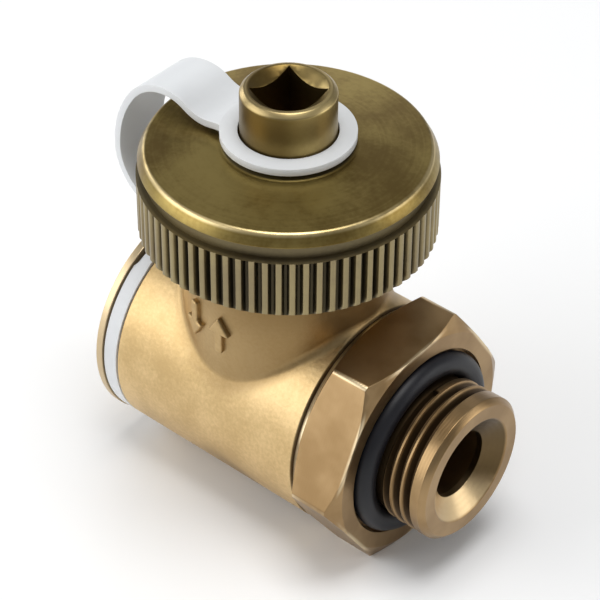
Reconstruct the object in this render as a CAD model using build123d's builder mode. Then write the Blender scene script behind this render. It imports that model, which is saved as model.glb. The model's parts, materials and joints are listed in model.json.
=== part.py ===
from build123d import *
import math
import os

os.makedirs("parts", exist_ok=True)

# Fill and drain valve with a knurled hose cap on a strap, in millimetres.
# The origin is the middle of the hexagon's front face, +X runs out of the inlet
# spigot and +Z runs up the outlet and the cap.

# Clearances
fit_gap = 0.1
running_gap = 0.15
seat_gap = 0.05
thread_gap = 0.2
key_gap = 0.2

# Inlet connector
spigot_radius = 8.331
spigot_length = 7.0
spigot_chamfer = 0.6
mouth_radius = 6.17
mouth_depth = 1.6
waterway_radius = 3.9
relief_depth = 0.4
hex_across_flats = 25.4
hex_length = 6.4
hex_turn = 3.6
hex_edge_radius = 0.8
hex_chamfer_angle = 30.0
hex_crown = 0.1
shoulder_length = 0.6
ring_recess_depth = 1.4
ring_recess_room = 0.35
shank_length = 4.1

# Ball and its seats
ball_radius = 7.0
ball_end_gap = 0.47
port_radius = 3.6
slot_width = 3.0
slot_depth = 2.4
seat_lip = 0.4
seat_land = 1.5
seat_wall = 0.7
seat_height = 4.2
seat_stand = 1.6
support_radius = 5.0
support_hole_radius = 2.5
support_rim = 0.1
support_sink = 1.0
carrier_height = 5.8
carrier_slot_width = 2.2
carrier_slot_depth = 1.6

# Body
cavity_gap = 2.6
barrel_wall = 3.15
barrel_chamfer = 0.25
neck_wall = 4.0
neck_height = 7.25
saddle_fillet = 1.3
outlet_bore_step = 0.2
outlet_thread_radius = 13.22
outlet_thread_length = 6.5
outlet_thread_pitch = 1.814
outlet_chamfer = 0.8

# Rear end: stem, bonnet and stop
square_across_flats = 5.5
square_length = 4.8
square_chamfer = 0.5
stem_shoulder = 0.11
collar_thickness = 1.8
washer_thickness = 0.6
washer_width = 1.3
pin_radius = 0.65
pin_sink = 1.9
quarter_turn = 90.0
tang_height = 3.2
bonnet_shank_length = 3.96
bonnet_shoulder = 0.9
strap_groove_width = 2.05
flange_thickness = 0.9
flange_proud = 0.15
recess_depth = 1.2
key_entry = 0.65

# Rubber rings, by the radius of their round section
inlet_ring_section = 1.3
inlet_ring_room = 0.2
body_ring_section = 0.9
stem_ring_section = 0.6
ring_groove_room = 0.4

# Cap with the key tower
gasket_thickness = 1.4
gasket_edge = 0.3
skirt_wall = 2.37
skirt_depth = 8.2
skirt_chamfer = 0.6
roof_thickness = 2.04
crown_rise = 0.5
knurl_height = 6.5
knurl_count = 72
knurl_depth = 0.75
knurl_land = 0.42
knurl_flank_angle = 70.0
neck_line_depth = 0.8
neck_line_height = 1.7
bevel_height = 1.35
bevel_inset = 0.75
bevel_step = 0.15
boss_height = 0.65
boss_width = 1.0
tower_wall = 1.01
tower_height = 5.95
tower_chamfer = 0.5
socket_depth = 6.5
socket_mouth_gap = 0.1
socket_mouth_angle = 38.0
socket_turn = -5.0

# Strap
strap_thickness = 0.8
strap_width = 6.8
strap_set = 0.8
upper_ring_wall = 1.85
upper_ring_gap = 0.2
lower_ring_gap = 0.2
lower_ring_thickness = 1.3
strap_dip = 0.3
strap_dip_reach = 2.5
strap_crest_reach = 4.8
strap_crest_height = 1.3
strap_bend_angle = 52.0
strap_bulge = 4.95
strap_drop = 10.2

# Places along the inlet axis, from the spigot to the stem's square
hex_rear = -hex_length
barrel_front = hex_rear - shoulder_length
shank_end = barrel_front - shank_length
branch_x = shank_end - ball_end_gap - ball_radius
collar_front = branch_x - ball_radius - ball_end_gap
collar_rear = collar_front - collar_thickness
washer_front = collar_rear - seat_gap
bonnet_inner = washer_front - washer_thickness - seat_gap
barrel_rear = bonnet_inner - bonnet_shank_length
flange_front = barrel_rear - strap_groove_width
bonnet_rear = flange_front - flange_thickness
recess_floor = bonnet_rear + recess_depth
stem_rear = recess_floor - square_length

# Radii about the inlet axis
body_bore_radius = ball_radius + cavity_gap
outlet_bore_radius = ball_radius + outlet_bore_step
barrel_radius = body_bore_radius + barrel_wall
shank_radius = body_bore_radius - fit_gap
groove_radius = body_bore_radius + bonnet_shoulder
flange_radius = barrel_radius + flange_proud
square_corner = square_across_flats / math.sqrt(2)
stem_radius = square_corner + stem_shoulder
stem_bore_radius = stem_radius + running_gap
washer_radius = stem_bore_radius + washer_width
collar_root = washer_radius + running_gap
pin_circle = collar_root + running_gap + pin_radius
collar_radius = ball_radius

# Places up the outlet axis
ball_room = ball_radius + running_gap
seat_bore = port_radius + seat_lip
seat_contact = seat_bore + seat_land
seat_radius = seat_contact + seat_wall
seat_bottom = math.sqrt(ball_room**2 - seat_contact**2)
seat_top = seat_bottom + seat_height
carrier_bottom = seat_bottom + seat_stand
carrier_top = seat_top + carrier_height
carrier_radius = outlet_bore_radius - fit_gap
support_floor = -(body_bore_radius + support_sink)
neck_radius = outlet_bore_radius + neck_wall
collar_bottom = barrel_radius + neck_height
outlet_top = collar_bottom + outlet_thread_length
gasket_bottom = outlet_top + seat_gap
cap_ceiling = gasket_bottom + gasket_thickness + seat_gap
skirt_bottom = cap_ceiling - skirt_depth
roof_edge = cap_ceiling + roof_thickness
boss_top = roof_edge + crown_rise + boss_height
strap_bottom = boss_top + seat_gap
tower_top = boss_top + tower_height

# Radii about the outlet axis
cap_bore_radius = outlet_thread_radius + thread_gap
knurl_radius = cap_bore_radius + skirt_wall
socket_across_flats = square_across_flats + key_gap
socket_corner = socket_across_flats / math.sqrt(2)
tower_radius = socket_corner + tower_wall
upper_ring_bore = tower_radius + upper_ring_gap
upper_ring_radius = upper_ring_bore + upper_ring_wall

# Planes and axes that the turned pieces share
outlet_plane = Plane(origin=(branch_x, 0, 0), x_dir=(1, 0, 0), z_dir=(0, -1, 0))
outlet_axis = Axis((branch_x, 0, 0), (0, 0, 1))


# Valve body: barrel, neck with its hose thread, cavity and bores
with BuildPart() as valve_body:
    with BuildSketch(Plane.YZ.offset(barrel_rear)):
        Circle(barrel_radius)
    extrude(amount=barrel_front - barrel_rear)
    chamfer(valve_body.edges().filter_by(GeomType.CIRCLE), length=barrel_chamfer)
    with BuildSketch(Plane.XY):
        with Locations((branch_x, 0)):
            Circle(neck_radius)
    extrude(amount=outlet_top)
    saddle = valve_body.edges().filter_by(GeomType.BSPLINE)
    fillet(saddle, radius=saddle_fillet)
    with BuildSketch(outlet_plane):
        with BuildLine():
            Polyline(
                (0, collar_bottom),
                (outlet_thread_radius - outlet_chamfer, collar_bottom),
                (outlet_thread_radius, collar_bottom + outlet_chamfer),
                (outlet_thread_radius, outlet_top - outlet_chamfer),
                (outlet_thread_radius - outlet_chamfer, outlet_top),
                (0, outlet_top),
                close=True,
            )
        make_face()
    revolve(axis=outlet_axis)
    with BuildSketch(Plane.YZ.offset(barrel_rear)):
        Circle(body_bore_radius)
    extrude(amount=barrel_front - barrel_rear, mode=Mode.SUBTRACT)
    with BuildSketch(Plane.XY):
        with Locations((branch_x, 0)):
            Circle(outlet_bore_radius)
    extrude(amount=outlet_top, mode=Mode.SUBTRACT)
    with BuildSketch(Plane.XY):
        with Locations((branch_x, 0)):
            Circle(support_radius + fit_gap)
    extrude(amount=support_floor, mode=Mode.SUBTRACT)
valve_body.part.label = "valve_body"
export_step(valve_body.part, "parts/valve_body.step")


# Inlet connector: chamfered hexagon with a turned shoulder behind it and the ring's recess
# in front, spigot and threaded shank
hex_corner = hex_across_flats / math.sqrt(3)
hex_crown_radius = hex_across_flats / 2 + hex_crown
hex_chamfer = (hex_corner - hex_crown_radius) * math.tan(math.radians(hex_chamfer_angle))
relief_radius = spigot_radius - relief_depth
relief_end = 2 * inlet_ring_section + seat_gap + inlet_ring_room - ring_recess_depth
inlet_ring_x = inlet_ring_section + seat_gap - ring_recess_depth
inlet_ring_radius = relief_radius + seat_gap + inlet_ring_section
ring_recess_radius = inlet_ring_radius + inlet_ring_section + ring_recess_room
body_ring_groove = body_bore_radius - seat_gap - 2 * body_ring_section - seat_gap
body_groove_width = 2 * body_ring_section + ring_groove_room
connector_ring_x = (barrel_front + shank_end) / 2
with BuildPart() as inlet_connector:
    with BuildSketch(Plane.YZ.offset(barrel_front)):
        hexagon = RegularPolygon(hex_across_flats / 2, 6, major_radius=False, rotation=hex_turn)
        fillet(hexagon.vertices(), radius=hex_edge_radius)
    extrude(amount=-barrel_front)
    with BuildSketch(Plane.XZ):
        with BuildLine():
            Polyline(
                (barrel_front, 0),
                (barrel_front, barrel_radius - barrel_chamfer),
                (hex_rear, hex_crown_radius),
                (hex_rear + hex_chamfer, hex_corner),
                (-hex_chamfer, hex_corner),
                (0, hex_crown_radius),
                (0, 0),
                close=True,
            )
        make_face()
    revolve(axis=Axis.X, mode=Mode.INTERSECT)
    with BuildSketch(Plane.YZ):
        Circle(ring_recess_radius)
    extrude(amount=-ring_recess_depth, mode=Mode.SUBTRACT)
    with BuildSketch(Plane.XZ):
        with BuildLine():
            Polyline(
                (shank_end, 0),
                (shank_end, shank_radius),
                (connector_ring_x - body_groove_width / 2, shank_radius),
                (connector_ring_x - body_groove_width / 2, body_ring_groove),
                (connector_ring_x + body_groove_width / 2, body_ring_groove),
                (connector_ring_x + body_groove_width / 2, shank_radius),
                (barrel_front, shank_radius),
                (barrel_front, relief_radius),
                (relief_end, relief_radius),
                (relief_end + relief_depth, spigot_radius),
                (spigot_length - spigot_chamfer, spigot_radius),
                (spigot_length, spigot_radius - spigot_chamfer),
                (spigot_length, 0),
                close=True,
            )
        make_face()
    revolve(axis=Axis.X)
    with BuildSketch(Plane.XZ):
        with BuildLine():
            Polyline(
                (shank_end, 0),
                (shank_end, waterway_radius),
                (spigot_length - mouth_depth, waterway_radius),
                (spigot_length, mouth_radius),
                (spigot_length, 0),
                close=True,
            )
        make_face()
    revolve(axis=Axis.X, mode=Mode.SUBTRACT)
inlet_connector.part.label = "inlet_connector"
export_step(inlet_connector.part, "parts/inlet_connector.step")


# Ball: an elbow of two ports, and the slot that the stem's tang turns
slot_floor = branch_x - ball_radius + slot_depth
with BuildPart() as ball:
    with Locations((branch_x, 0, 0)):
        Sphere(ball_radius)
        Sphere(port_radius, mode=Mode.SUBTRACT)
    with BuildSketch(Plane.YZ.offset(branch_x)):
        Circle(port_radius)
    extrude(amount=ball_radius, mode=Mode.SUBTRACT)
    with BuildSketch(outlet_plane):
        Circle(port_radius)
    extrude(amount=-ball_radius, mode=Mode.SUBTRACT)
    with BuildSketch(Plane.YZ.offset(slot_floor)):
        Rectangle(slot_width, 2 * ball_radius)
    extrude(amount=-slot_depth, mode=Mode.SUBTRACT)
ball.part.label = "ball"
export_step(ball.part, "parts/ball.step")


# Outlet seat: a ring with a spherical face on the ball
with BuildPart() as outlet_seat:
    with BuildSketch(outlet_plane):
        with Locations(((seat_bore + seat_radius) / 2, (seat_bottom + seat_top) / 2)):
            Rectangle(seat_radius - seat_bore, seat_height)
        Circle(ball_room, mode=Mode.SUBTRACT)
    revolve(axis=outlet_axis)
outlet_seat.part.label = "outlet_seat"
export_step(outlet_seat.part, "parts/outlet_seat.step")


# Support seat: the ring under the ball, sunk in the floor of the body
support_contact = support_radius - support_rim
support_top = -math.sqrt(ball_room**2 - support_contact**2)
support_base = support_floor + seat_gap
with BuildPart() as support_seat:
    with BuildSketch(outlet_plane):
        with Locations(((support_hole_radius + support_radius) / 2, (support_base + support_top) / 2)):
            Rectangle(support_radius - support_hole_radius, support_top - support_base)
        Circle(ball_room, mode=Mode.SUBTRACT)
    revolve(axis=outlet_axis)
support_seat.part.label = "support_seat"
export_step(support_seat.part, "parts/support_seat.step")


# Seat carrier: threaded ring in the neck with a driver slot across its top
carrier_ring_z = (seat_top + carrier_top) / 2
carrier_ring_groove = outlet_bore_radius - seat_gap - 2 * body_ring_section - seat_gap
with BuildPart() as seat_carrier:
    with BuildSketch(outlet_plane):
        with BuildLine():
            Polyline(
                (seat_bore, carrier_top),
                (carrier_radius, carrier_top),
                (carrier_radius, carrier_ring_z + body_groove_width / 2),
                (carrier_ring_groove, carrier_ring_z + body_groove_width / 2),
                (carrier_ring_groove, carrier_ring_z - body_groove_width / 2),
                (carrier_radius, carrier_ring_z - body_groove_width / 2),
                (carrier_radius, carrier_bottom),
                (seat_radius + fit_gap, carrier_bottom),
                (seat_radius + fit_gap, seat_top + seat_gap),
                (seat_bore, seat_top + seat_gap),
                close=True,
            )
        make_face()
    revolve(axis=outlet_axis)
    with BuildSketch(Plane.XY.offset(carrier_top)):
        with Locations((branch_x, 0)):
            Rectangle(2 * carrier_radius, carrier_slot_width)
    extrude(amount=-carrier_slot_depth, mode=Mode.SUBTRACT)
seat_carrier.part.label = "seat_carrier"
export_step(seat_carrier.part, "parts/seat_carrier.step")


# Stem: tang, stop collar, sealed shaft and the square that the key turns
stem_ring_groove = stem_bore_radius - seat_gap - 2 * stem_ring_section - seat_gap
stem_groove_width = 2 * stem_ring_section + ring_groove_room
stem_shaft_length = collar_rear - recess_floor
stem_ring_inner_x = recess_floor + 0.7 * stem_shaft_length
stem_ring_outer_x = recess_floor + 0.3 * stem_shaft_length
stop_margin = math.degrees(math.asin((pin_radius + running_gap) / pin_circle))
stop_start = quarter_turn - quarter_turn - stop_margin
stop_end = quarter_turn + stop_margin
with BuildPart() as stem:
    with BuildSketch(Plane.XZ):
        with BuildLine():
            Polyline(
                (recess_floor, 0),
                (recess_floor, stem_radius),
                (stem_ring_outer_x - stem_groove_width / 2, stem_radius),
                (stem_ring_outer_x - stem_groove_width / 2, stem_ring_groove),
                (stem_ring_outer_x + stem_groove_width / 2, stem_ring_groove),
                (stem_ring_outer_x + stem_groove_width / 2, stem_radius),
                (stem_ring_inner_x - stem_groove_width / 2, stem_radius),
                (stem_ring_inner_x - stem_groove_width / 2, stem_ring_groove),
                (stem_ring_inner_x + stem_groove_width / 2, stem_ring_groove),
                (stem_ring_inner_x + stem_groove_width / 2, stem_radius),
                (collar_rear, stem_radius),
                (collar_rear, collar_radius),
                (collar_front, collar_radius),
                (collar_front, 0),
                close=True,
            )
        make_face()
    revolve(axis=Axis.X)
    with BuildSketch(Plane.YZ.offset(collar_rear)):
        with BuildLine():
            stop_side = PolarLine((0, 0), 2 * collar_radius, stop_start)
            stop_rim = CenterArc((0, 0), 2 * collar_radius, stop_start, stop_end - stop_start)
            Line(stop_rim @ 1, (0, 0))
        make_face()
        Circle(collar_root, mode=Mode.SUBTRACT)
    extrude(amount=collar_thickness, mode=Mode.SUBTRACT)
    with BuildSketch(Plane.YZ.offset(collar_front)):
        Rectangle(slot_width - 2 * fit_gap, 2 * tang_height)
    extrude(amount=slot_floor - fit_gap - collar_front)
    with BuildSketch(Plane.YZ.offset(recess_floor)):
        Rectangle(square_across_flats, square_across_flats)
    extrude(amount=-square_length)
    square_end = stem.faces().sort_by(Axis.X)[0]
    chamfer(square_end.edges(), length=square_chamfer)
stem.part.label = "stem"
export_step(stem.part, "parts/stem.step")


# Stop pin: pressed into the bonnet and standing in the collar's notch
with BuildPart() as stop_pin:
    with BuildSketch(Plane.YZ.offset(bonnet_inner - pin_sink)):
        with Locations((0, pin_circle)):
            Circle(pin_radius)
    extrude(amount=collar_front - bonnet_inner + pin_sink)
stop_pin.part.label = "stop_pin"
export_step(stop_pin.part, "parts/stop_pin.step")


# Thrust washer between the stem's collar and the bonnet
with BuildPart() as stem_thrust_washer:
    with BuildSketch(Plane.YZ.offset(washer_front)):
        Circle(washer_radius)
        Circle(stem_bore_radius, mode=Mode.SUBTRACT)
    extrude(amount=-washer_thickness)
stem_thrust_washer.part.label = "stem_thrust_washer"
export_step(stem_thrust_washer.part, "parts/stem_thrust_washer.step")


# End bonnet: shank in the barrel, groove for the strap and thin end flange
bonnet_ring_x = (bonnet_inner + barrel_rear) / 2
recess_radius = tower_radius + key_entry
with BuildPart() as end_bonnet:
    with BuildSketch(Plane.XZ):
        with BuildLine():
            Polyline(
                (bonnet_inner, stem_bore_radius),
                (bonnet_inner, shank_radius),
                (bonnet_ring_x + body_groove_width / 2, shank_radius),
                (bonnet_ring_x + body_groove_width / 2, body_ring_groove),
                (bonnet_ring_x - body_groove_width / 2, body_ring_groove),
                (bonnet_ring_x - body_groove_width / 2, shank_radius),
                (barrel_rear, shank_radius),
                (barrel_rear, groove_radius),
                (flange_front, groove_radius),
                (flange_front, flange_radius),
                (bonnet_rear, flange_radius),
                (bonnet_rear, recess_radius),
                (recess_floor, recess_radius),
                (recess_floor, stem_bore_radius),
                close=True,
            )
        make_face()
    revolve(axis=Axis.X)
    with BuildSketch(Plane.YZ.offset(bonnet_inner)):
        with Locations((0, pin_circle)):
            Circle(pin_radius + seat_gap)
    extrude(amount=-pin_sink, mode=Mode.SUBTRACT)
end_bonnet.part.label = "end_bonnet"
export_step(end_bonnet.part, "parts/end_bonnet.step")


# Rubber rings about the inlet axis: name, place along X, ring radius, section radius
body_ring_radius = body_bore_radius - seat_gap - body_ring_section
stem_ring_radius = stem_bore_radius - seat_gap - stem_ring_section
inlet_rings = [
    ("inlet_o_ring", inlet_ring_x, inlet_ring_radius, inlet_ring_section),
    ("connector_o_ring", connector_ring_x, body_ring_radius, body_ring_section),
    ("bonnet_o_ring", bonnet_ring_x, body_ring_radius, body_ring_section),
    ("stem_o_ring_inner", stem_ring_inner_x, stem_ring_radius, stem_ring_section),
    ("stem_o_ring_outer", stem_ring_outer_x, stem_ring_radius, stem_ring_section),
]
for ring_name, ring_x, ring_radius, ring_section in inlet_rings:
    with BuildPart() as o_ring:
        with BuildSketch(Plane.XZ):
            with Locations((ring_x, ring_radius)):
                Circle(ring_section)
        revolve(axis=Axis.X)
    o_ring.part.label = ring_name
    export_step(o_ring.part, f"parts/{ring_name}.step")


# Rubber ring of the seat carrier, about the outlet axis
with BuildPart() as carrier_o_ring:
    with BuildSketch(outlet_plane):
        with Locations((outlet_bore_radius - seat_gap - body_ring_section, carrier_ring_z)):
            Circle(body_ring_section)
    revolve(axis=outlet_axis)
carrier_o_ring.part.label = "carrier_o_ring"
export_step(carrier_o_ring.part, "parts/carrier_o_ring.step")


# Cap: turned shell with a straight knurl, and the tower with its countersunk square socket
knurl_bottom = skirt_bottom + skirt_chamfer
knurl_top = knurl_bottom + knurl_height
neck_line_radius = knurl_radius - neck_line_depth
bevel_bottom = roof_edge - bevel_height
knurl_pitch = 2 * math.pi * knurl_radius / knurl_count
knurl_cut = knurl_pitch * (1 - knurl_land)
knurl_flare = 2 * knurl_depth / math.tan(math.radians(knurl_flank_angle))
socket_mouth_radius = socket_corner + socket_mouth_gap
socket_mouth_tip = tower_top - socket_mouth_radius * math.tan(math.radians(socket_mouth_angle))
with BuildPart() as cap:
    with BuildSketch(outlet_plane):
        with BuildLine():
            Polyline(
                (0, skirt_bottom),
                (knurl_radius - knurl_depth, skirt_bottom),
                (knurl_radius, knurl_bottom),
                (knurl_radius, knurl_top),
                (neck_line_radius, knurl_top + bevel_step),
                (neck_line_radius, bevel_bottom - bevel_step),
                (knurl_radius - bevel_step, bevel_bottom),
                (knurl_radius - bevel_step - bevel_inset, roof_edge),
                (upper_ring_radius, roof_edge + crown_rise),
                (upper_ring_radius - boss_width, boss_top),
                (tower_radius, boss_top),
                (tower_radius, tower_top - tower_chamfer),
                (tower_radius - tower_chamfer, tower_top),
                (0, tower_top),
                close=True,
            )
        make_face()
    revolve(axis=outlet_axis)
    with BuildSketch(Plane.XY.offset(skirt_bottom)):
        with Locations((branch_x, 0)):
            with PolarLocations(knurl_radius, knurl_count):
                Trapezoid(knurl_cut + knurl_flare, 2 * knurl_depth, knurl_flank_angle, rotation=90)
    extrude(amount=knurl_top - skirt_bottom, mode=Mode.SUBTRACT)
    with BuildSketch(Plane.XY.offset(skirt_bottom)):
        with Locations((branch_x, 0)):
            Circle(cap_bore_radius)
    extrude(amount=skirt_depth, mode=Mode.SUBTRACT)
    with BuildSketch(Plane.XY.offset(tower_top)):
        with Locations((branch_x, 0)):
            Rectangle(socket_across_flats, socket_across_flats, rotation=socket_turn)
    extrude(amount=-socket_depth, mode=Mode.SUBTRACT)
    with BuildSketch(outlet_plane):
        with BuildLine():
            Polyline((0, tower_top), (socket_mouth_radius, tower_top), (0, socket_mouth_tip), close=True)
        make_face()
    revolve(axis=outlet_axis, mode=Mode.SUBTRACT)
cap.part.label = "cap"
export_step(cap.part, "parts/cap.step")


# Cap gasket: flat rubber washer on the outlet's lip
with BuildPart() as cap_gasket:
    with BuildSketch(Plane.XY.offset(gasket_bottom)):
        with Locations((branch_x, 0)):
            Circle(cap_bore_radius - gasket_edge)
            Circle(outlet_bore_radius, mode=Mode.SUBTRACT)
    extrude(amount=gasket_thickness)
cap_gasket.part.label = "cap_gasket"
export_step(cap_gasket.part, "parts/cap_gasket.step")


# Strap: a ring around the tower, a ring in the bonnet's groove and the bent band between,
# which is set a little to the front of the rings' middle
lower_ring_bore = groove_radius + lower_ring_gap
lower_ring_radius = barrel_radius
lower_ring_x = barrel_rear - running_gap - lower_ring_thickness / 2
band_edge = strap_width / 2 + strap_set
band_start_x = branch_x - math.sqrt(upper_ring_radius**2 - band_edge**2)
band_start_z = strap_bottom + strap_thickness / 2
band_dip = (band_start_x - strap_dip_reach, band_start_z - strap_dip)
band_crest = (band_dip[0] - strap_crest_reach, band_dip[1] + strap_crest_height)
band_out = (branch_x - knurl_radius - strap_bulge, band_crest[1] - strap_drop)
band_end = (lower_ring_x, (lower_ring_bore + lower_ring_radius) / 2)
dip_middle = ((band_start_x + band_dip[0]) / 2, (band_start_z + band_dip[1]) / 2)
rise_middle = ((band_dip[0] + band_crest[0]) / 2, (band_dip[1] + band_crest[1]) / 2)
fall_middle = ((band_out[0] + band_end[0]) / 2, (band_out[1] + band_end[1]) / 2)

# The bend over the cap's edge is a tight arc and a wide one: their radii follow from
# the crest, the outermost point and the angle at which they meet
bend_sin = math.sin(math.radians(strap_bend_angle))
bend_cos = math.cos(math.radians(strap_bend_angle))
bend_reach = band_crest[0] - band_out[0]
bend_share = bend_sin * bend_cos - (1 - bend_sin) * (1 - bend_cos)
tight_radius = (bend_reach * bend_cos - strap_drop * (1 - bend_sin)) / bend_share
wide_radius = (strap_drop * bend_sin - bend_reach * (1 - bend_cos)) / bend_share
with BuildPart() as strap:
    with BuildSketch(Plane.XZ.offset(strap_set)):
        with BuildLine():
            leave = TangentArc((band_start_x, band_start_z), dip_middle, tangent=(-1, 0))
            TangentArc(dip_middle, band_dip, tangent=leave % 1)
            rise = TangentArc(band_dip, rise_middle, tangent=(-1, 0))
            TangentArc(rise_middle, band_crest, tangent=rise % 1)
            tight = JernArc(band_crest, (-1, 0), tight_radius, strap_bend_angle)
            JernArc(tight @ 1, tight % 1, wide_radius, 90 - strap_bend_angle)
            fall = TangentArc(band_out, fall_middle, tangent=(0, -1))
            TangentArc(fall_middle, band_end, tangent=fall % 1)
        trace(line_width=strap_thickness)
    extrude(amount=strap_width / 2, both=True)
    with BuildSketch(Plane.XY.offset(strap_bottom)):
        with Locations((branch_x, 0)):
            Circle(upper_ring_radius)
    extrude(amount=strap_thickness)
    with BuildSketch(Plane.XY.offset(strap_bottom)):
        with Locations((branch_x, 0)):
            Circle(upper_ring_bore)
    extrude(amount=strap_thickness, mode=Mode.SUBTRACT)
    with BuildSketch(Plane.YZ.offset(lower_ring_x - lower_ring_thickness / 2)):
        Circle(lower_ring_radius)
        Circle(lower_ring_bore, mode=Mode.SUBTRACT)
    extrude(amount=lower_ring_thickness)
strap.part.label = "strap"
export_step(strap.part, "parts/strap.step")
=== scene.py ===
# %% [markdown]
# # A brass fill and drain valve
# The real valve is a cast brass tee: a barrel with a hexagon and a threaded spigot at one end, a bonnet
# at the other, and a neck with a hose thread that a knurled cap closes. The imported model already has
# every piece at its place, so this lesson only gives the pieces their finish: rounded edges, cut
# threads, a soft strap and materials. All lengths in Blender are metres, so sizes that are easier to
# read in millimetres are multiplied by MM.

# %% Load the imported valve
import json
import math

import bpy
from mathutils import Matrix, Vector


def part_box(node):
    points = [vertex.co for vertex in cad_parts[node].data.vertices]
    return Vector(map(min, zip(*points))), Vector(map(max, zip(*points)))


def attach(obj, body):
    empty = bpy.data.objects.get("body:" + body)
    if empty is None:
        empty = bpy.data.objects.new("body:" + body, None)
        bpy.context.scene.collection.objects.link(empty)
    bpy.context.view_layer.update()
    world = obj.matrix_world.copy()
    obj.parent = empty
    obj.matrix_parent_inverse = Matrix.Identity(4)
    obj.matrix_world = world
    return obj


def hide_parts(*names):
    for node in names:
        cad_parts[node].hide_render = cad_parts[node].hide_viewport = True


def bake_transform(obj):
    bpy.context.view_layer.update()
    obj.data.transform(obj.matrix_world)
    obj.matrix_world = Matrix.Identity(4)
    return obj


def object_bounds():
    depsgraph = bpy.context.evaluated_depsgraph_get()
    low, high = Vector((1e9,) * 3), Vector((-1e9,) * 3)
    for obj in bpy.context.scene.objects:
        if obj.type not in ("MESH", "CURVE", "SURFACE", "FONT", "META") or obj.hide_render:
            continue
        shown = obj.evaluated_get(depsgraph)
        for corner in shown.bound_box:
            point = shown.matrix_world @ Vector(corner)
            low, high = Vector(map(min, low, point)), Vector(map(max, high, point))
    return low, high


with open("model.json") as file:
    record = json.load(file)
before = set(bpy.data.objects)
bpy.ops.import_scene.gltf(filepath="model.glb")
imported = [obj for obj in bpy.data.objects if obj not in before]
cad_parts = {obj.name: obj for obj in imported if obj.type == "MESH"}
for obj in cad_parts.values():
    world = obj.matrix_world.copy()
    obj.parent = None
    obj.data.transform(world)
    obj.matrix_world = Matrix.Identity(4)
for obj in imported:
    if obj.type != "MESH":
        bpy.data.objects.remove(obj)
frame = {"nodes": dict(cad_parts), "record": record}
cad_low, cad_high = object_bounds()
MM = 0.001
print("CAD box in mm:", [round(v / MM, 2) for v in (*cad_low, *cad_high)])

# %% [markdown]
# ## The places that the pieces share
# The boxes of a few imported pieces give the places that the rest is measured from. The inlet axis is the
# X axis. The outlet axis stands on the middle of the cap, and the floor lies just under the lowest
# point of the valve.

# %% Read the shared places
cap_low, cap_high = (Vector(corner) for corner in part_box("cap"))
outlet_x = (cap_low.x + cap_high.x) / 2
FLOOR_GAP = 0.02 * MM
floor_z = cad_low.z - FLOOR_GAP


def around(value, first, last):
    """Two places in metres, given in millimetres before or after a value."""
    return value + first * MM, value + last * MM


print("outlet axis at x =", round(outlet_x / MM, 2), "mm, floor at z =", round(floor_z / MM, 2), "mm")

# %% [markdown]
# ## Camera
# The photograph was taken with a long lens from the front right, looking down at about forty degrees. A
# long lens keeps parallel edges almost parallel. The camera stands on a line from the target, and its
# roll is turned last.

# %% Place the camera
VIEW_AZIMUTH = math.radians(40.59)
VIEW_ELEVATION = math.radians(39.5)
VIEW_ROLL = math.radians(0.39)
VIEW_DISTANCE = 268.1 * MM
VIEW_TARGET = Vector((-16.87, 0.0, 10.30)) * MM
LENS = 150.0
SENSOR = 36.0
NEAR_LIMIT = 5 * MM

towards_camera = Vector((
    math.sin(VIEW_AZIMUTH) * math.cos(VIEW_ELEVATION),
    -math.cos(VIEW_AZIMUTH) * math.cos(VIEW_ELEVATION),
    math.sin(VIEW_ELEVATION),
))
bpy.ops.object.camera_add(location=VIEW_TARGET + towards_camera * VIEW_DISTANCE)
camera = bpy.context.object
camera.name = "photo_camera"
turn = towards_camera.to_track_quat("Z", "Y") @ Matrix.Rotation(VIEW_ROLL, 3, "Z").to_quaternion()
camera.rotation_euler = turn.to_euler()
camera.data.lens = LENS
camera.data.sensor_width = SENSOR
camera.data.clip_start = NEAR_LIMIT
bpy.context.scene.camera = camera
bpy.context.scene.view_settings.view_transform = "Standard"
print("camera at", [round(v, 4) for v in camera.location])

# %% [markdown]
# ## Floor and light
# Polished brass shows what is around it, so the light comes from a few soft panels with darker room
# between them. The key panel stands at the front left, where the barrel looks, and the top panel lights
# the roof of the cap. Weaker panels at the side, the back and the left draw the bright lines on the
# hexagon and the neck. A sun lamp would be simpler, but it gives hard shadows and one small highlight.
# The floor is plain and pale.

# %% Build the floor and the lights
FLOOR_SIZE = 6.0
ROOM_COLOUR = (0.96, 0.98, 1.0, 1.0)
ROOM_LIGHT = 0.30

bpy.ops.object.select_all(action="DESELECT")
bpy.ops.mesh.primitive_plane_add(size=FLOOR_SIZE, location=(0, 0, floor_z))
floor = bpy.context.object
floor.name = "studio_floor"


def softbox(name, place, size, power):
    """Adds a square area light at a place in metres, turned towards the valve."""
    aim = (Vector(place) - VIEW_TARGET).to_track_quat("Z", "Y").to_euler()
    bpy.ops.object.light_add(type="AREA", location=place, rotation=aim)
    panel = bpy.context.object
    panel.name = name
    panel.data.size = size
    panel.data.energy = power


softbox("key_panel", (-0.34, -0.40, 0.24), 0.46, 1.7)
softbox("top_panel", (0.06, -0.02, 0.80), 0.42, 3.7)
softbox("side_panel", (0.60, 0.46, 0.21), 0.42, 1.3)
softbox("back_panel", (-0.52, 0.60, 0.30), 0.30, 0.35)
softbox("left_panel", (-0.60, 0.02, 0.16), 0.22, 0.55)

room = bpy.data.worlds.new("studio_room")
bpy.context.scene.world = room
room.use_nodes = True
background = room.node_tree.nodes["Background"]
background.inputs["Color"].default_value = ROOM_COLOUR
background.inputs["Strength"].default_value = ROOM_LIGHT

# %% [markdown]
# ## Writing materials as sums
# A finish is a small calculation: a mask is multiplied, two patterns are added. The class below wraps
# one socket, and Python's own operators add the Math nodes, so a material reads like the sum that it
# is. Any other node comes from the method `node`, which takes the node's type, its settings and what
# goes into its sockets.

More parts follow.
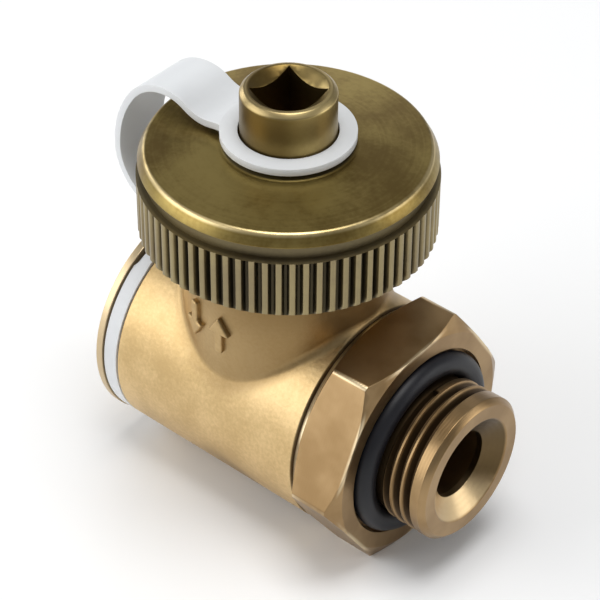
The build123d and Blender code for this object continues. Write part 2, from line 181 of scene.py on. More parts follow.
# %% Define the shader helper
class Wire:
    """One output socket of a material, which can be added, multiplied and so on."""

    def __init__(self, tree, socket):
        self.tree = tree
        self.socket = socket

    def node(self, kind, settings=None, values=None, output=0):
        """Adds a node of a kind, with its settings and the values or wires of its sockets."""
        made = self.tree.nodes.new(kind)
        for name, value in (settings or {}).items():
            setattr(made, name, value)
        for name, value in (values or {}).items():
            self.feed(made.inputs[name], value)
        return Wire(self.tree, made.outputs[output])

    def feed(self, socket, value):
        """Links a wire to a socket, or sets the socket's own value."""
        if isinstance(value, Wire):
            self.tree.links.new(value.socket, socket)
        else:
            socket.default_value = value

    def math(self, operation, first, second=0.0):
        return self.node("ShaderNodeMath", {"operation": operation}, {0: first, 1: second})

    def __add__(self, other):
        return self.math("ADD", self, other)

    def __radd__(self, other):
        return self.math("ADD", other, self)

    def __sub__(self, other):
        return self.math("SUBTRACT", self, other)

    def __rsub__(self, other):
        return self.math("SUBTRACT", other, self)

    def __mul__(self, other):
        return self.math("MULTIPLY", self, other)

    def __rmul__(self, other):
        return self.math("MULTIPLY", other, self)

    def __pow__(self, other):
        return self.math("POWER", self, other)


def new_finish(name):
    """A new material, its shader node and the wire of its Object coordinates."""
    material = bpy.data.materials.new(name)
    material.use_nodes = True
    tree = material.node_tree
    coordinates = tree.nodes.new("ShaderNodeTexCoord")
    return material, tree.nodes["Principled BSDF"], Wire(tree, coordinates.outputs["Object"])


def noise(place, scale, detail=3.0, rough=0.5):
    """A noise value from 0 to 1, with a scale in spots for each metre."""
    return place.node("ShaderNodeTexNoise", None,
                      {"Vector": place, "Scale": scale, "Detail": detail, "Roughness": rough})


def blend_colours(place, share, first, second):
    """A colour between two, by a share from 0 to 1."""
    return place.node("ShaderNodeMix", {"data_type": "RGBA"}, {0: share, 6: first, 7: second}, output=2)


def part_of(place, axis):
    """The X, Y or Z value of a vector wire."""
    return place.node("ShaderNodeSeparateXYZ", None, {0: place}, output="XYZ".index(axis))


def ramp(place, value, low, high):
    """A value stretched so that low becomes 0 and high becomes 1."""
    return place.node("ShaderNodeMapRange", {"interpolation_type": "SMOOTHSTEP"},
                      {0: value, 1: low, 2: high, 3: 0.0, 4: 1.0})


def window(place, value, rise, fall):
    """A mask that goes up to 1 over a first pair of values and back to 0 over a second."""
    return ramp(place, value, *rise) * (1 - ramp(place, value, *fall))


def bump(place, height, depth):
    """A normal from a height wire, where depth is the height's real size in metres."""
    return place.node("ShaderNodeBump", None, {"Strength": 1.0, "Distance": depth, "Height": height})


print("shader helper ready")

# %% [markdown]
# ## Cast brass
# The tee is cast, blasted and left bare: pale gold, satin, with a fine grain and faint darker clouds.
# Grain that is much smaller than a pixel only makes noise, so there are two sizes of it, one felt as
# roughness and one as bump. The neck is darkened with painted shade, most under the cap and towards the
# hexagon, and the seam at the hexagon with painted shade too. Both are masks by place.

# %% Mix the cast brass
CAST_TONES = ((0.53, 0.37, 0.17, 1), (0.72, 0.53, 0.275, 1))
# Painted shade colours for the neck and for the seam at the hexagon.
CAST_NECK_SHADE = (0.215, 0.135, 0.052, 1)
SEAM_SHADE_COLOUR = (0.045, 0.027, 0.012, 1)
NECK_RADIUS = 11.2 * MM
SHADE_HEIGHTS = (13.0 * MM, 20.0 * MM)
FAR_SIDE = (-5.0 * MM, 6.0 * MM)
SEAM_TOP = (13.6 * MM, 14.4 * MM)
BARREL_FRONT = -7.0 * MM


def about_outlet(place):
    """The distance of a place from the outlet axis."""
    across = part_of(place, "X") - outlet_x
    along = part_of(place, "Y")
    return (across * across + along * along) ** 0.5


def about_inlet(place):
    """The distance of a place from the inlet axis."""
    across = part_of(place, "Y")
    height = part_of(place, "Z")
    return (across * across + height * height) ** 0.5


def make_cast_brass():
    """Pale blasted brass, with painted shade on the neck and in the seam."""
    material, shader, place = new_finish("cast_brass")
    clouds = noise(place, 110.0, 4.0, 0.55)
    grain = noise(place, 2600.0, 2.0, 0.6)
    pits = noise(place, 900.0, 2.0, 0.5)
    tone = ramp(place, clouds * 0.7 + grain * 0.3, 0.34, 0.66)
    clean = blend_colours(place, tone, *CAST_TONES)
    # Painted shade on the neck: some all round, more towards the hexagon and more under the cap.
    on_neck = 1 - ramp(place, about_outlet(place), *around(NECK_RADIUS, 0.1, 1.3))
    under_cap = ramp(place, part_of(place, "Z") + clouds * 3 * MM, *SHADE_HEIGHTS)
    far_side = ramp(place, part_of(place, "X") - outlet_x, *FAR_SIDE)
    neck_shade = on_neck * (0.42 + far_side * 0.30 + under_cap * 0.24)
    neck_shaded = blend_colours(place, neck_shade, clean, CAST_NECK_SHADE)
    # Painted shade in the seam at the hexagon, fading out near its top.
    seam = ramp(place, part_of(place, "X"), *around(BARREL_FRONT, -0.30, -0.12))
    seam = seam * (1 - ramp(place, part_of(place, "Z"), *SEAM_TOP))
    place.feed(shader.inputs["Base Color"], blend_colours(place, seam * 0.9, neck_shaded, SEAM_SHADE_COLOUR))
    shader.inputs["Metallic"].default_value = 1.0
    place.feed(shader.inputs["Roughness"], 0.36 + clouds * 0.10 + grain * 0.08)
    place.feed(shader.inputs["Normal"], bump(place, grain * 0.5 + pits, 0.035 * MM))
    return material


cast_brass = make_cast_brass()
print("made", cast_brass.name)

# %% [markdown]
# ## Turned brass
# The hexagon, the spigot, the bonnet and the stem come off a lathe. A lathe leaves fine rings about the
# axis, which are a wave along X with a little wander. The colour is browner than that of the casting.
# The hexagon's corners, its front rim and the shoulder carry painted highlights, and the thread's
# grooves and the seam painted shade. Inside the mouth, one side has a painted highlight and the other
# painted shade. The bonnet is a paler tone. Painting all this by hand would need an image, so masks by
# place do it here.

# %% Mix the turned brass
TURNED_TONES = ((0.275, 0.175, 0.080, 1), (0.375, 0.25, 0.124, 1))
# A pale colour for painted highlights and for the bonnet's own paler tone.
TURNED_HIGHLIGHT_AND_PALE = (0.80, 0.66, 0.43, 1)
TURNED_SHADE_COLOUR = (0.040, 0.024, 0.012, 1)
MOUTH_HIGHLIGHT = (0.80, 0.62, 0.36, 1)
MOUTH_SHADE_COLOUR = (0.085, 0.058, 0.026, 1)
HEX_REACH = 25.4 * MM / 2
HEX_TURN = math.radians(3.6)
HEX_EDGE = 14.53 * MM
SHOULDER_REAR = -6.90 * MM
SHOULDER_FRONT = -6.42 * MM
BONNET_FRONT = -33.0 * MM
THREAD_REAR = 0.2 * MM
THREAD_FRONT = 5.35 * MM
THREAD_ROOT = 6.9 * MM
THREAD_CREST = (8.02 * MM, 8.28 * MM)
MOUTH_START = 4.6 * MM
MOUTH_WALL = (5.9 * MM, 6.15 * MM)
MOUTH_SHADE = (-3.6 * MM, -0.6 * MM)


def hexagon_reach(place):
    """How far a place is from the inlet axis, square to the nearest flat of the hexagon."""
    reach = None
    for side in range(3):
        angle = HEX_TURN + math.radians(30 + 60 * side)
        flat = part_of(place, "Y") * math.cos(angle) + part_of(place, "Z") * math.sin(angle)
        flat = place.math("ABSOLUTE", flat)
        reach = flat if reach is None else place.math("MAXIMUM", reach, flat)
    return reach


def make_turned_brass():
    """Brown turned brass, with painted highlights on its edges, a paler bonnet, and painted shade in the
    thread, the seam and one side of the mouth.
    """
    material, shader, place = new_finish("turned_brass")
    clouds = noise(place, 160.0, 3.0, 0.6)
    grain = noise(place, 3000.0, 2.0, 0.5)
    rings = place.node("ShaderNodeTexWave", {"wave_type": "BANDS", "bands_direction": "X"},
                       {"Vector": place, "Scale": 900.0, "Distortion": 2.0, "Detail": 2.0}, output=1)
    along = part_of(place, "X")
    radius = about_inlet(place)
    skin = blend_colours(place, ramp(place, clouds, 0.32, 0.68), *TURNED_TONES)
    # Painted highlights on the hexagon's corners and its front rim, broken up by the clouds.
    corners = ramp(place, radius, *around(HEX_EDGE, -0.05, 0))
    rim = window(place, along, around(0, -0.40, -0.12), around(0, 0.1, 0.2))
    rim = rim * ramp(place, hexagon_reach(place), *around(HEX_REACH, -0.45, -0.15))
    highlight_and_pale_tone = place.math("MAXIMUM", corners, rim) * ramp(place, clouds, 0.28, 0.60)
    # A painted highlight on the shoulder.
    on_shoulder = window(place, along, around(SHOULDER_REAR, 0, 0.06), around(SHOULDER_FRONT, -0.06, 0))
    highlight_and_pale_tone = place.math("MAXIMUM", highlight_and_pale_tone * 0.8, on_shoulder)
    # The bonnet's own paler tone.
    on_bonnet = 1 - ramp(place, along, *around(BONNET_FRONT, -0.2, 0))
    highlight_and_pale_tone = place.math("MAXIMUM", highlight_and_pale_tone, on_bonnet * 0.55)
    skin = blend_colours(place, highlight_and_pale_tone, skin, TURNED_HIGHLIGHT_AND_PALE)
    # Inside the mouth: a painted highlight on one side and painted shade on the other.
    in_mouth = ramp(place, along, *around(MOUTH_START, 0, 0.2)) * (1 - ramp(place, radius, *MOUTH_WALL))
    shaded_side = ramp(place, part_of(place, "Z") + part_of(place, "Y") * 0.55, *MOUTH_SHADE)
    skin = blend_colours(place, in_mouth * (1 - shaded_side) * 0.55, skin, MOUTH_HIGHLIGHT)
    skin = blend_colours(place, in_mouth * shaded_side * 0.85, skin, MOUTH_SHADE_COLOUR)
    # Painted shade in the thread's grooves and in the seam.
    in_thread = window(place, along, around(THREAD_REAR, 0, 0.2), around(THREAD_FRONT, -0.2, 0))
    in_groove = window(place, radius, around(THREAD_ROOT, 0, 0.1), THREAD_CREST)
    at_seam = window(place, along, around(BARREL_FRONT, -0.2, -0.1), around(BARREL_FRONT, 0.03, 0.10))
    painted_shade = place.math("MAXIMUM", in_thread * in_groove * 0.85, at_seam * 0.9)
    place.feed(shader.inputs["Base Color"], blend_colours(place, painted_shade, skin, TURNED_SHADE_COLOUR))
    shader.inputs["Metallic"].default_value = 1.0
    place.feed(shader.inputs["Roughness"], 0.27 + clouds * 0.12 + rings * 0.05 + painted_shade * 0.2)
    place.feed(shader.inputs["Normal"], bump(place, rings * 0.5 + grain * 0.5, 0.006 * MM))
    return material


turned_brass = make_turned_brass()
print("made", turned_brass.name)

# %% [markdown]
# ## Dark cap brass
# The cap is a darker, olive brown brass. Handling has left it clouded, and the skin is smoother than
# the casting's, so it shows soft streaks instead of grain. The rims carry painted highlights, and the
# tower carries painted shade that is lighter on one side. The knurl is greyer than the roof, and painted
# shade darkens its roots and the boss round the tower.

# %% Mix the cap brass
CAP_TONES = ((0.180, 0.119, 0.032, 1), (0.345, 0.258, 0.083, 1))
TOWER_SHADE = (0.118, 0.074, 0.024, 1)
TOWER_LIT_SIDE = (0.55, 0.43, 0.20, 1)
KNURL_GREY = (0.30, 0.265, 0.19, 1)
CAP_HIGHLIGHT = (0.68, 0.54, 0.28, 1)
CAP_SHADE_COLOUR = (0.016, 0.014, 0.011, 1)
TOWER_LIT_RANGE = (-0.9 * MM, 3.6 * MM)
knurl_radius = (cap_high.x - cap_low.x) / 2
roof_z = cap_high.z - 7.10 * MM
roof_radius = knurl_radius - 0.90 * MM
groove_z = roof_z - 1.40 * MM
tower_radius = 5.04 * MM
boss_radius = 7.10 * MM
knurl_top = 26.90 * MM


def make_cap_brass():
    """Dark olive brass, with painted highlights on its rims and painted shade in the knurl's roots and on
    the boss.
    """
    material, shader, place = new_finish("cap_brass")
    height = part_of(place, "Z")
    radius = about_outlet(place)
    clouds = noise(place, 90.0, 4.0, 0.6)
    grain = noise(place, 2200.0, 2.0, 0.5)
    turning = place.node("ShaderNodeTexNoise", {"noise_dimensions": "1D"},
                         {"W": radius, "Scale": 2600.0, "Detail": 2.0})
    tone = ramp(place, clouds * 0.78 + grain * 0.14 + turning * 0.08, 0.36, 0.64)
    skin = blend_colours(place, tone, *CAP_TONES)
    # Painted shade on the tower and in its socket, lightened on one side with painted light.
    on_tower = 1 - ramp(place, radius, *around(tower_radius, 0, 0.3))
    across = part_of(place, "X") - outlet_x + part_of(place, "Y") * 0.8
    lit_side = ramp(place, across, *TOWER_LIT_RANGE)
    skin = blend_colours(place, on_tower * (0.72 - lit_side * 0.65), skin, TOWER_SHADE)
    skin = blend_colours(place, on_tower * lit_side * 0.30, skin, TOWER_LIT_SIDE)
    below = 1 - ramp(place, height, *around(groove_z, -0.1, 0.1))
    skin = blend_colours(place, below * 0.5, skin, KNURL_GREY)
    # Painted highlights on the roof's edge and the tower's rim, broken up by the clouds.
    roof_rim = window(place, radius, around(roof_radius, -0.30, -0.05), around(roof_radius, 0.10, 0.40))
    roof_rim = roof_rim * ramp(place, height, *around(roof_z, -0.5, -0.2))
    tower_rim = ramp(place, height, *around(cap_high.z, -0.60, -0.35))
    tower_rim = tower_rim * ramp(place, radius, *around(tower_radius, -0.85, -0.65))
    highlight_and_pale_tone = (roof_rim + tower_rim * 0.45) * ramp(place, clouds, 0.28, 0.60)
    skin = blend_colours(place, highlight_and_pale_tone, skin, CAP_HIGHLIGHT)
    # Painted shade in the knurl's roots, lighter near the groove, and on the boss round the tower.
    painted_shade = below * (1 - ramp(place, radius, *around(knurl_radius, -0.50, -0.10)))
    in_groove = ramp(place, height, *around(knurl_top, -0.05, 0.15))
    painted_shade = painted_shade * (0.80 - in_groove * 0.36)
    on_boss = ramp(place, height, *around(roof_z, 0.02, 0.10))
    beside_tower = around(tower_radius, 0.2, 0.4)
    on_boss = on_boss * window(place, radius, beside_tower, around(boss_radius, -0.25, 0.05))
    painted_shade = place.math("MAXIMUM", painted_shade, on_boss * 0.85)
    place.feed(shader.inputs["Base Color"], blend_colours(place, painted_shade, skin, CAP_SHADE_COLOUR))
    shader.inputs["Metallic"].default_value = 1.0
    place.feed(shader.inputs["Roughness"], 0.26 + clouds * 0.14 + turning * 0.03 + painted_shade * 0.20)
    place.feed(shader.inputs["Normal"], bump(place, grain * 0.4 + clouds * 0.5 + turning * 0.1, 0.012 * MM))
    return material


cap_brass = make_cap_brass()
print("made", cap_brass.name)

# %% [markdown]
# ## Rubber, plastic and the small metals
# The rubber rings are black with a dull sheen, the strap is a milky plastic that lets a little light
# through, and the seats are white and waxy. The ball is chromed and the stop pin is ground steel. The
# plain ones differ only in colour, metal and roughness, so one function mixes them all.

# %% Mix the other finishes
def make_rubber():
    material, shader, place = new_finish("black_rubber")
    bloom = noise(place, 420.0, 3.0, 0.6)
    place.feed(shader.inputs["Base Color"],
               blend_colours(place, bloom, (0.005, 0.005, 0.007, 1), (0.012, 0.012, 0.016, 1)))
    place.feed(shader.inputs["Roughness"], 0.36 + bloom * 0.16)
    shader.inputs["Specular IOR Level"].default_value = 0.32
    place.feed(shader.inputs["Normal"], bump(place, noise(place, 3500.0), 0.004 * MM))
    return material


def make_strap_plastic():
    material, shader, place = new_finish("strap_plastic")
    milk = noise(place, 140.0, 2.0, 0.5)
    place.feed(shader.inputs["Base Color"],
               blend_colours(place, milk, (0.66, 0.675, 0.69, 1), (0.73, 0.745, 0.755, 1)))
    place.feed(shader.inputs["Roughness"], 0.36 + milk * 0.14)
    place.feed(shader.inputs["Normal"], bump(place, noise(place, 1200.0), 0.006 * MM))
    shader.inputs["Subsurface Weight"].default_value = 0.35
    shader.inputs["Subsurface Radius"].default_value = (1.0, 1.0, 1.0)
    shader.inputs["Subsurface Scale"].default_value = 1.2 * MM
    return material


def make_plain_finish(name, dark, light, metallic, roughness, spots):
    """A finish with faint clouds between two colours."""
    material, shader, place = new_finish(name)
    clouds = noise(place, spots, 3.0, 0.5)
    place.feed(shader.inputs["Base Color"], blend_colours(place, clouds, dark, light))
    shader.inputs["Metallic"].default_value = metallic
    place.feed(shader.inputs["Roughness"], roughness + clouds * 0.08)
    return material


rubber = make_rubber()
strap_plastic = make_strap_plastic()
white_ptfe = make_plain_finish("white_ptfe", (0.78, 0.78, 0.76, 1), (0.88, 0.88, 0.86, 1), 0.0, 0.42, 300.0)
chrome = make_plain_finish("chromed_ball", (0.74, 0.75, 0.77, 1), (0.82, 0.83, 0.84, 1), 1.0, 0.06, 200.0)
pin_steel = make_plain_finish("steel_pin", (0.45, 0.45, 0.46, 1), (0.58, 0.58, 0.60, 1), 1.0, 0.28, 900.0)
floor_paint = make_plain_finish("floor_paint", (0.95, 0.95, 0.95, 1), (0.96, 0.96, 0.96, 1), 0.0, 0.60, 4.0)
floor.data.materials.append(floor_paint)
print("materials:", len(bpy.data.materials))

# %% [markdown]
# ## Dressing the pieces that keep their CAD shape
# The seals, the ball and the other inner pieces already have their final shape. They only need their
# finish, so the material goes straight into the slot of the CAD object.

# %% Paint the inner pieces
slot_finish = {
    "cast_brass": cast_brass,
    "turned_brass": turned_brass,
    "cap_brass": cap_brass,
    "black_rubber": rubber,
    "white_ptfe": white_ptfe,
    "chromed_ball": chrome,
    "steel_pin": pin_steel,
    "strap_plastic": strap_plastic,
}
node_slot = {part["node"]: part["material_slot"] for part in frame["record"]["subparts"]}
node_body = {node: body for body, nodes in frame["record"]["behaviour"]["bodies"].items() for node in nodes}
for node, cad_object in frame["nodes"].items():
    cad_object.data.materials.clear()
    cad_object.data.materials.append(slot_finish[node_slot[node]])
print("painted", len(frame["nodes"]), "nodes")

# %% [markdown]
# ## Rounding edges
# No real edge is perfectly sharp, and the thin bright line on a rounded edge is what makes metal look
# solid. A copy of the CAD mesh is loose triangles, so its points are merged and its flat triangles
# joined into whole faces. Then the Bevel modifier rounds every edge that is sharper than a set angle.

# %% Define the bench work
MERGE_DISTANCE = 0.002 * MM
FLAT_ANGLE = math.radians(0.4)
EDGE_ANGLE = math.radians(24)
SMOOTH_ANGLE = math.radians(32)
FLAT_WEIGHT = 80


def take_up(piece):
    """Makes one piece the only selected one, and the active one."""
    bpy.ops.object.select_all(action="DESELECT")
    piece.select_set(True)
    bpy.context.view_layer.objects.active = piece


def bench_copy(node):
    """A copy of a CAD node with its points merged and its flat faces whole."""
    piece = bpy.data.objects.new(node + "_finished", frame["nodes"][node].data.copy())
    bpy.context.collection.objects.link(piece)
    take_up(piece)
    bpy.ops.object.mode_set(mode="EDIT")
    bpy.ops.mesh.select_all(action="SELECT")
    bpy.ops.mesh.remove_doubles(threshold=MERGE_DISTANCE)
    bpy.ops.mesh.customdata_custom_splitnormals_clear()
    bpy.ops.mesh.dissolve_limited(angle_limit=FLAT_ANGLE)
    bpy.ops.object.mode_set(mode="OBJECT")
    return piece


def apply_all(piece):
    """Applies a piece's modifiers in their order."""
    take_up(piece)
    for name in [modifier.name for modifier in piece.modifiers]:
        bpy.ops.object.modifier_apply(modifier=name)


def round_edges(piece, width, segments=2):
    """Rounds the sharp edges of a piece by a width in metres."""
    bevel = piece.modifiers.new("rounded_edges", "BEVEL")
    bevel.width = width
    bevel.segments = segments
    bevel.limit_method = "ANGLE"
    bevel.angle_limit = EDGE_ANGLE
    apply_all(piece)


def smooth_faces(piece):
    """Shades the roundings smooth and keeps the flats flat."""
    take_up(piece)
    bpy.ops.object.shade_smooth_by_angle(angle=SMOOTH_ANGLE)
    flatten = piece.modifiers.new("flat_faces", "WEIGHTED_NORMAL")
    flatten.keep_sharp = True
    flatten.weight = FLAT_WEIGHT
    apply_all(piece)


def hand_over(piece, node):
    """Lets a finished piece stand for its CAD node, on the same body and slot."""
    piece.data.materials.clear()
    piece.data.materials.append(slot_finish[node_slot[node]])
    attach(piece, node_body[node])
    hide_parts(node)
    print(piece.name, len(piece.data.polygons), "faces")


print("bench work ready")

# %% [markdown]
# ## Threads
# A pipe thread is a groove with sides at 55 degrees that climbs by one pitch each turn. A bump in the
# material could hint at it, but the outline would stay smooth. So a cutter with a blunt V section is
# carried round the axis by the Screw modifier, and a Boolean takes it out of the plain spigot or
# outlet. That leaves the crests at the true diameter, as a die does. A cutter that doesn't climb makes
# a plain ring, for the run-out at the end of a thread.

# %% Define the thread cutter
THREAD_STEPS = 72
THREAD_HALF_ANGLE = math.radians(27.5)
THREAD_DEPTH = 0.64
TIP_PARTS = 12
CUTTER_CLEARANCE = 0.25 * MM


def thread_cutter(name, axis, radius, pitch, turns, start, climb):
    """A V cutter with a blunt tip about the X or Z axis, which climbs along it from a start place."""
    depth = THREAD_DEPTH * pitch
    tip_half = pitch / TIP_PARTS
    rim_half = tip_half + (depth + CUTTER_CLEARANCE) * math.tan(THREAD_HALF_ANGLE)
    root = radius - depth
    rim = radius + CUTTER_CLEARANCE
    bpy.ops.object.select_all(action="DESELECT")
    bpy.ops.mesh.primitive_circle_add(vertices=4, radius=rim_half)
    cutter = bpy.context.object
    cutter.name = name
    corners = ((-tip_half, root), (tip_half, root), (rim_half, rim), (-rim_half, rim))
    for point, (along, out) in zip(cutter.data.vertices, corners):
        point.co = (start + along, 0, out) if axis == "X" else (out, 0, start + along)
    screw = cutter.modifiers.new("climb", "SCREW")
    screw.axis = axis
    screw.screw_offset = climb
    screw.angle = 2 * math.pi * turns
    screw.steps = round(THREAD_STEPS * turns)
    screw.render_steps = screw.steps
    screw.use_merge_vertices = climb == 0
    apply_all(cutter)
    bpy.ops.object.mode_set(mode="EDIT")
    bpy.ops.mesh.select_all(action="SELECT")
    if climb:
        bpy.ops.mesh.fill_holes(sides=4)
        bpy.ops.mesh.select_all(action="SELECT")
    bpy.ops.mesh.normals_make_consistent(inside=False)
    bpy.ops.object.mode_set(mode="OBJECT")
    return cutter


def cut_thread(piece, cutter):
    """Takes the cutter out of a piece, throws the cutter away and cleans the cut."""
    boolean = piece.modifiers.new("thread", "BOOLEAN")
    boolean.operation = "DIFFERENCE"
    boolean.solver = "EXACT"
    boolean.object = cutter
    apply_all(piece)
    bpy.data.objects.remove(cutter, do_unlink=True)
    bpy.ops.object.mode_set(mode="EDIT")
    bpy.ops.mesh.select_all(action="SELECT")
    bpy.ops.mesh.remove_doubles(threshold=MERGE_DISTANCE)
    bpy.ops.mesh.dissolve_degenerate(threshold=MERGE_DISTANCE)
    bpy.ops.object.mode_set(mode="OBJECT")


print("thread cutter ready")

# %% [markdown]
# ## Inlet connector
# The hexagon and the spigot are one turned piece. Its edges are rounded before the thread is cut,
# because the fine edges of a thread would hold the rounding back. The spigot's thread stops short of
# the mouth, where a plain band leads it into the fitting, and it runs out into the relief behind the
# rubber ring.

# %% Finish the inlet connector
INLET_PITCH = 1.337 * MM
INLET_TURNS = 2.4
INLET_START = 1.8 * MM
RUN_OUT_PLACE = 1.75 * MM
SPIGOT_RADIUS = 8.331 * MM
CONNECTOR_EDGE = 0.12 * MM

connector = bench_copy("inlet_connector")
round_edges(connector, CONNECTOR_EDGE)
cut_thread(connector, thread_cutter("inlet_cutter", "X", SPIGOT_RADIUS, INLET_PITCH, INLET_TURNS,
                                    INLET_START, INLET_PITCH * INLET_TURNS))
run_out_cutter = thread_cutter("run_out_cutter", "X", SPIGOT_RADIUS, INLET_PITCH, 1.0, RUN_OUT_PLACE, 0.0)
cut_thread(connector, run_out_cutter)
smooth_faces(connector)
hand_over(connector, "inlet_connector")

# %% [markdown]
# ## Body with its hose thread
# The neck ends in a three-quarter inch hose thread, which shows when the cap is screwed up. It is cut
# in the same way as the spigot's, about the outlet axis. The casting's edges are rounded widely, as
# sand and blasting leave them.

# %% Finish the body
OUTLET_PITCH = 1.814 * MM
OUTLET_TURNS = 3.1
OUTLET_START = 20.75 * MM
OUTLET_RADIUS = 13.22 * MM
CASTING_EDGE = 0.25 * MM

body = bench_copy("valve_body")
round_edges(body, CASTING_EDGE)
outlet_cutter = thread_cutter("outlet_cutter", "Z", OUTLET_RADIUS, OUTLET_PITCH, OUTLET_TURNS,
                              OUTLET_START, OUTLET_PITCH * OUTLET_TURNS)
outlet_cutter.location.x = outlet_x
cut_thread(body, outlet_cutter)
smooth_faces(body)
hand_over(body, "valve_body")

# %% [markdown]
# ## Flow arrows
# Two plain arrows are raised on the neck, one up and one down, because the valve lets water in and out.
# They could be a bump in the material, but a raised shape also shows in the mesh. The first is a flat
# outline, extruded from just inside the neck to a little above its skin, with its edges rounded as sand
# leaves them. The second is a copy of its mesh, turned over and moved round the neck.

# %% Raise the flow arrows
ARROW_OUTLINE = ((-0.48, -2.3), (0.48, -2.3), (0.48, 0.2), (1.4, 0.2), (0.0, 2.3), (-1.4, 0.2), (-0.48, 0.2))
ARROW_ANGLE = math.radians(-88)
ARROW_STEP = math.radians(-19)
ARROW_SUNK = 0.30 * MM
ARROW_RAISED = 0.55 * MM
ARROW_EDGE = 0.22 * MM
ARROW_HEIGHT = 12.0 * MM

arrow_axis = Vector((outlet_x, 0, ARROW_HEIGHT))
outward = Vector((math.cos(ARROW_ANGLE), math.sin(ARROW_ANGLE), 0))
sideways = Vector((-outward.y, outward.x, 0))
arrow_foot = arrow_axis + outward * (NECK_RADIUS - ARROW_SUNK)
bpy.ops.object.select_all(action="DESELECT")
bpy.ops.mesh.primitive_circle_add(vertices=len(ARROW_OUTLINE), radius=MM, fill_type="NGON")
fill_arrow = bpy.context.object
fill_arrow.name = "fill_arrow"
for point, (across, height) in zip(fill_arrow.data.vertices, ARROW_OUTLINE):
    point.co = arrow_foot + sideways * across * MM + Vector((0, 0, height * MM))
bpy.ops.object.mode_set(mode="EDIT")
bpy.ops.mesh.select_all(action="SELECT")
bpy.ops.mesh.extrude_region_move(TRANSFORM_OT_translate={"value": outward * (ARROW_SUNK + ARROW_RAISED)})
bpy.ops.mesh.select_all(action="SELECT")
bpy.ops.mesh.normals_make_consistent(inside=False)
bpy.ops.object.mode_set(mode="OBJECT")
round_edges(fill_arrow, ARROW_EDGE, 3)
smooth_faces(fill_arrow)

drain_arrow = bpy.data.objects.new("drain_arrow", fill_arrow.data.copy())
bpy.context.collection.objects.link(drain_arrow)
to_axis = Matrix.Translation(arrow_axis)
turn_over = Matrix.Rotation(math.pi, 4, outward)
go_round = Matrix.Rotation(ARROW_STEP, 4, "Z")
drain_arrow.data.transform(to_axis @ go_round @ turn_over @ to_axis.inverted())
for arrow in (fill_arrow, drain_arrow):
    arrow.data.materials.clear()
    arrow.data.materials.append(cast_brass)
    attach(arrow, "valve")
    print(arrow.name, len(arrow.data.polygons), "faces")

# %% [markdown]
# ## Bonnet and stem
# These two keep the shape of the CAD model, and only their edges are rounded, finely, as a lathe tool
# breaks them.

# %% Finish the bonnet and the stem
LATHE_EDGE = 0.16 * MM

for node in ("end_bonnet", "stem"):
    finished = bench_copy(node)
    round_edges(finished, LATHE_EDGE)
    smooth_faces(finished)
    hand_over(finished, node)

# %% [markdown]
# ## Rounding chosen edges
# The Bevel modifier gives all edges one width, and holds it back wherever two edges are too close. The
# Bevel operator rounds only what is selected, so the sharp edges are sorted by the places of their ends.
# Rounding can leave slivers without area, which are removed once the faces are triangles.

# %% Define the rounding by place
def round_by_place(piece, width, segments, wanted):
    """Rounds the sharp edges of a piece whose two ends are at wanted places."""
    take_up(piece)
    bpy.ops.object.mode_set(mode="EDIT")
    bpy.ops.mesh.select_mode(type="EDGE")
    bpy.ops.mesh.select_all(action="DESELECT")
    bpy.ops.mesh.edges_select_sharp(sharpness=EDGE_ANGLE)
    bpy.ops.object.mode_set(mode="OBJECT")
    points = piece.data.vertices
    chosen = [edge.index for edge in piece.data.edges
              if edge.select and wanted(*(points[index].co for index in edge.vertices))]
    bpy.ops.object.mode_set(mode="EDIT")
    bpy.ops.mesh.select_all(action="DESELECT")
    bpy.ops.object.mode_set(mode="OBJECT")
    for index in chosen:
        piece.data.edges[index].select = True
    bpy.ops.object.mode_set(mode="EDIT")
    bpy.ops.mesh.bevel(offset=width, segments=segments, affect="EDGES")
    bpy.ops.object.mode_set(mode="OBJECT")


def clear_slivers(piece):
    """Cuts the faces of a piece into triangles and removes those that have no area."""
    take_up(piece)
    bpy.ops.object.mode_set(mode="EDIT")
    bpy.ops.mesh.select_all(action="SELECT")
    bpy.ops.mesh.remove_doubles(threshold=MERGE_DISTANCE)
    bpy.ops.mesh.dissolve_degenerate(threshold=MERGE_DISTANCE)
    bpy.ops.mesh.quads_convert_to_tris(quad_method="BEAUTY", ngon_method="BEAUTY")
    bpy.ops.mesh.dissolve_degenerate(threshold=MERGE_DISTANCE)
    bpy.ops.object.mode_set(mode="OBJECT")


print("rounding by place ready")

# %% [markdown]
# ## Cap
# The roots of the cap's knurl are too fine for one width of rounding, so its edges are chosen by place.
# The edge of the roof gets the widest rounding, under a painted highlight line. The crests of the
# knurl and the tower get a fine one, and the mouth of the socket the finest, because the metal at its
# corners is narrow.

# %% Finish the cap
ROOF_ROUNDING = 0.28 * MM
CREST_ROUNDING = 0.13 * MM
SOCKET_ROUNDING = 0.04 * MM
SOCKET_REACH = 4.30 * MM
SOCKET_MOUTH = 1.0 * MM
PLACE_ROOM = 0.06 * MM
CREST_LENGTH = 2.0 * MM
bevel_foot = roof_z - 1.50 * MM


def cap_radius(place):
    """The distance of a point of the cap from the outlet axis."""
    return math.hypot(place.x - outlet_x, place.y)


def on_roof_edge(first, second):
    return all(abs(cap_radius(end) - roof_radius) < PLACE_ROOM and abs(end.z - roof_z) < PLACE_ROOM
               for end in (first, second))


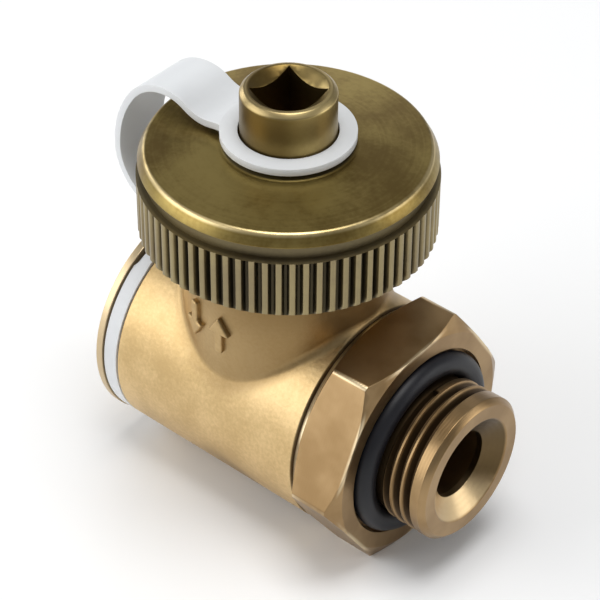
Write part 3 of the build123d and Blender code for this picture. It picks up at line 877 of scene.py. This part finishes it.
def on_crest(first, second):
    outside = min(cap_radius(first), cap_radius(second)) > knurl_radius - PLACE_ROOM
    return outside and abs(first.z - second.z) > CREST_LENGTH


def on_upper_part(first, second):
    outside = min(cap_radius(first), cap_radius(second)) > SOCKET_REACH
    return outside and min(first.z, second.z) > bevel_foot


def on_socket_mouth(first, second):
    inside = max(cap_radius(first), cap_radius(second)) < SOCKET_REACH
    return inside and min(first.z, second.z) > cap_high.z - SOCKET_MOUTH


cap = bench_copy("cap")
round_by_place(cap, ROOF_ROUNDING, 4, on_roof_edge)
round_by_place(cap, CREST_ROUNDING, 3, on_crest)
round_by_place(cap, CREST_ROUNDING, 3, on_upper_part)
round_by_place(cap, SOCKET_ROUNDING, 2, on_socket_mouth)
clear_slivers(cap)
smooth_faces(cap)
hand_over(cap, "cap")

# %% [markdown]
# ## Strap
# The strap is one flat moulding, bent over the edge of the cap. The real strap flexes, but here it
# keeps the bent shape of the CAD model. The lower ring is drawn out along its axis first, to fill the
# groove as the real one does.

# %% Finish the strap
STRAP_EDGE = 0.25 * MM
RING_REACH = -32.0 * MM
RING_TOP = 10.5 * MM
RING_ANCHOR = -32.855 * MM
RING_WIDENING = 1.338


def widen_lower_ring(piece):
    """Fills the bonnet's groove better with the lower ring, below the root of the band."""
    take_up(piece)
    bpy.ops.object.mode_set(mode="EDIT")
    bpy.ops.mesh.select_mode(type="VERT")
    bpy.ops.mesh.select_all(action="DESELECT")
    bpy.ops.object.mode_set(mode="OBJECT")
    for point in piece.data.vertices:
        point.select = point.co.x < RING_REACH and point.co.z < RING_TOP
    bpy.ops.object.mode_set(mode="EDIT")
    bpy.ops.transform.resize(value=(RING_WIDENING, 1, 1), center_override=(RING_ANCHOR, 0, 0))
    bpy.ops.object.mode_set(mode="OBJECT")


strap = bench_copy("strap")
widen_lower_ring(strap)
round_edges(strap, STRAP_EDGE, 3)
smooth_faces(strap)
strap.data.materials.clear()
strap.data.materials.append(strap_plastic)
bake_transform(strap)
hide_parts("strap")
print(strap.name, len(strap.data.polygons), "faces")
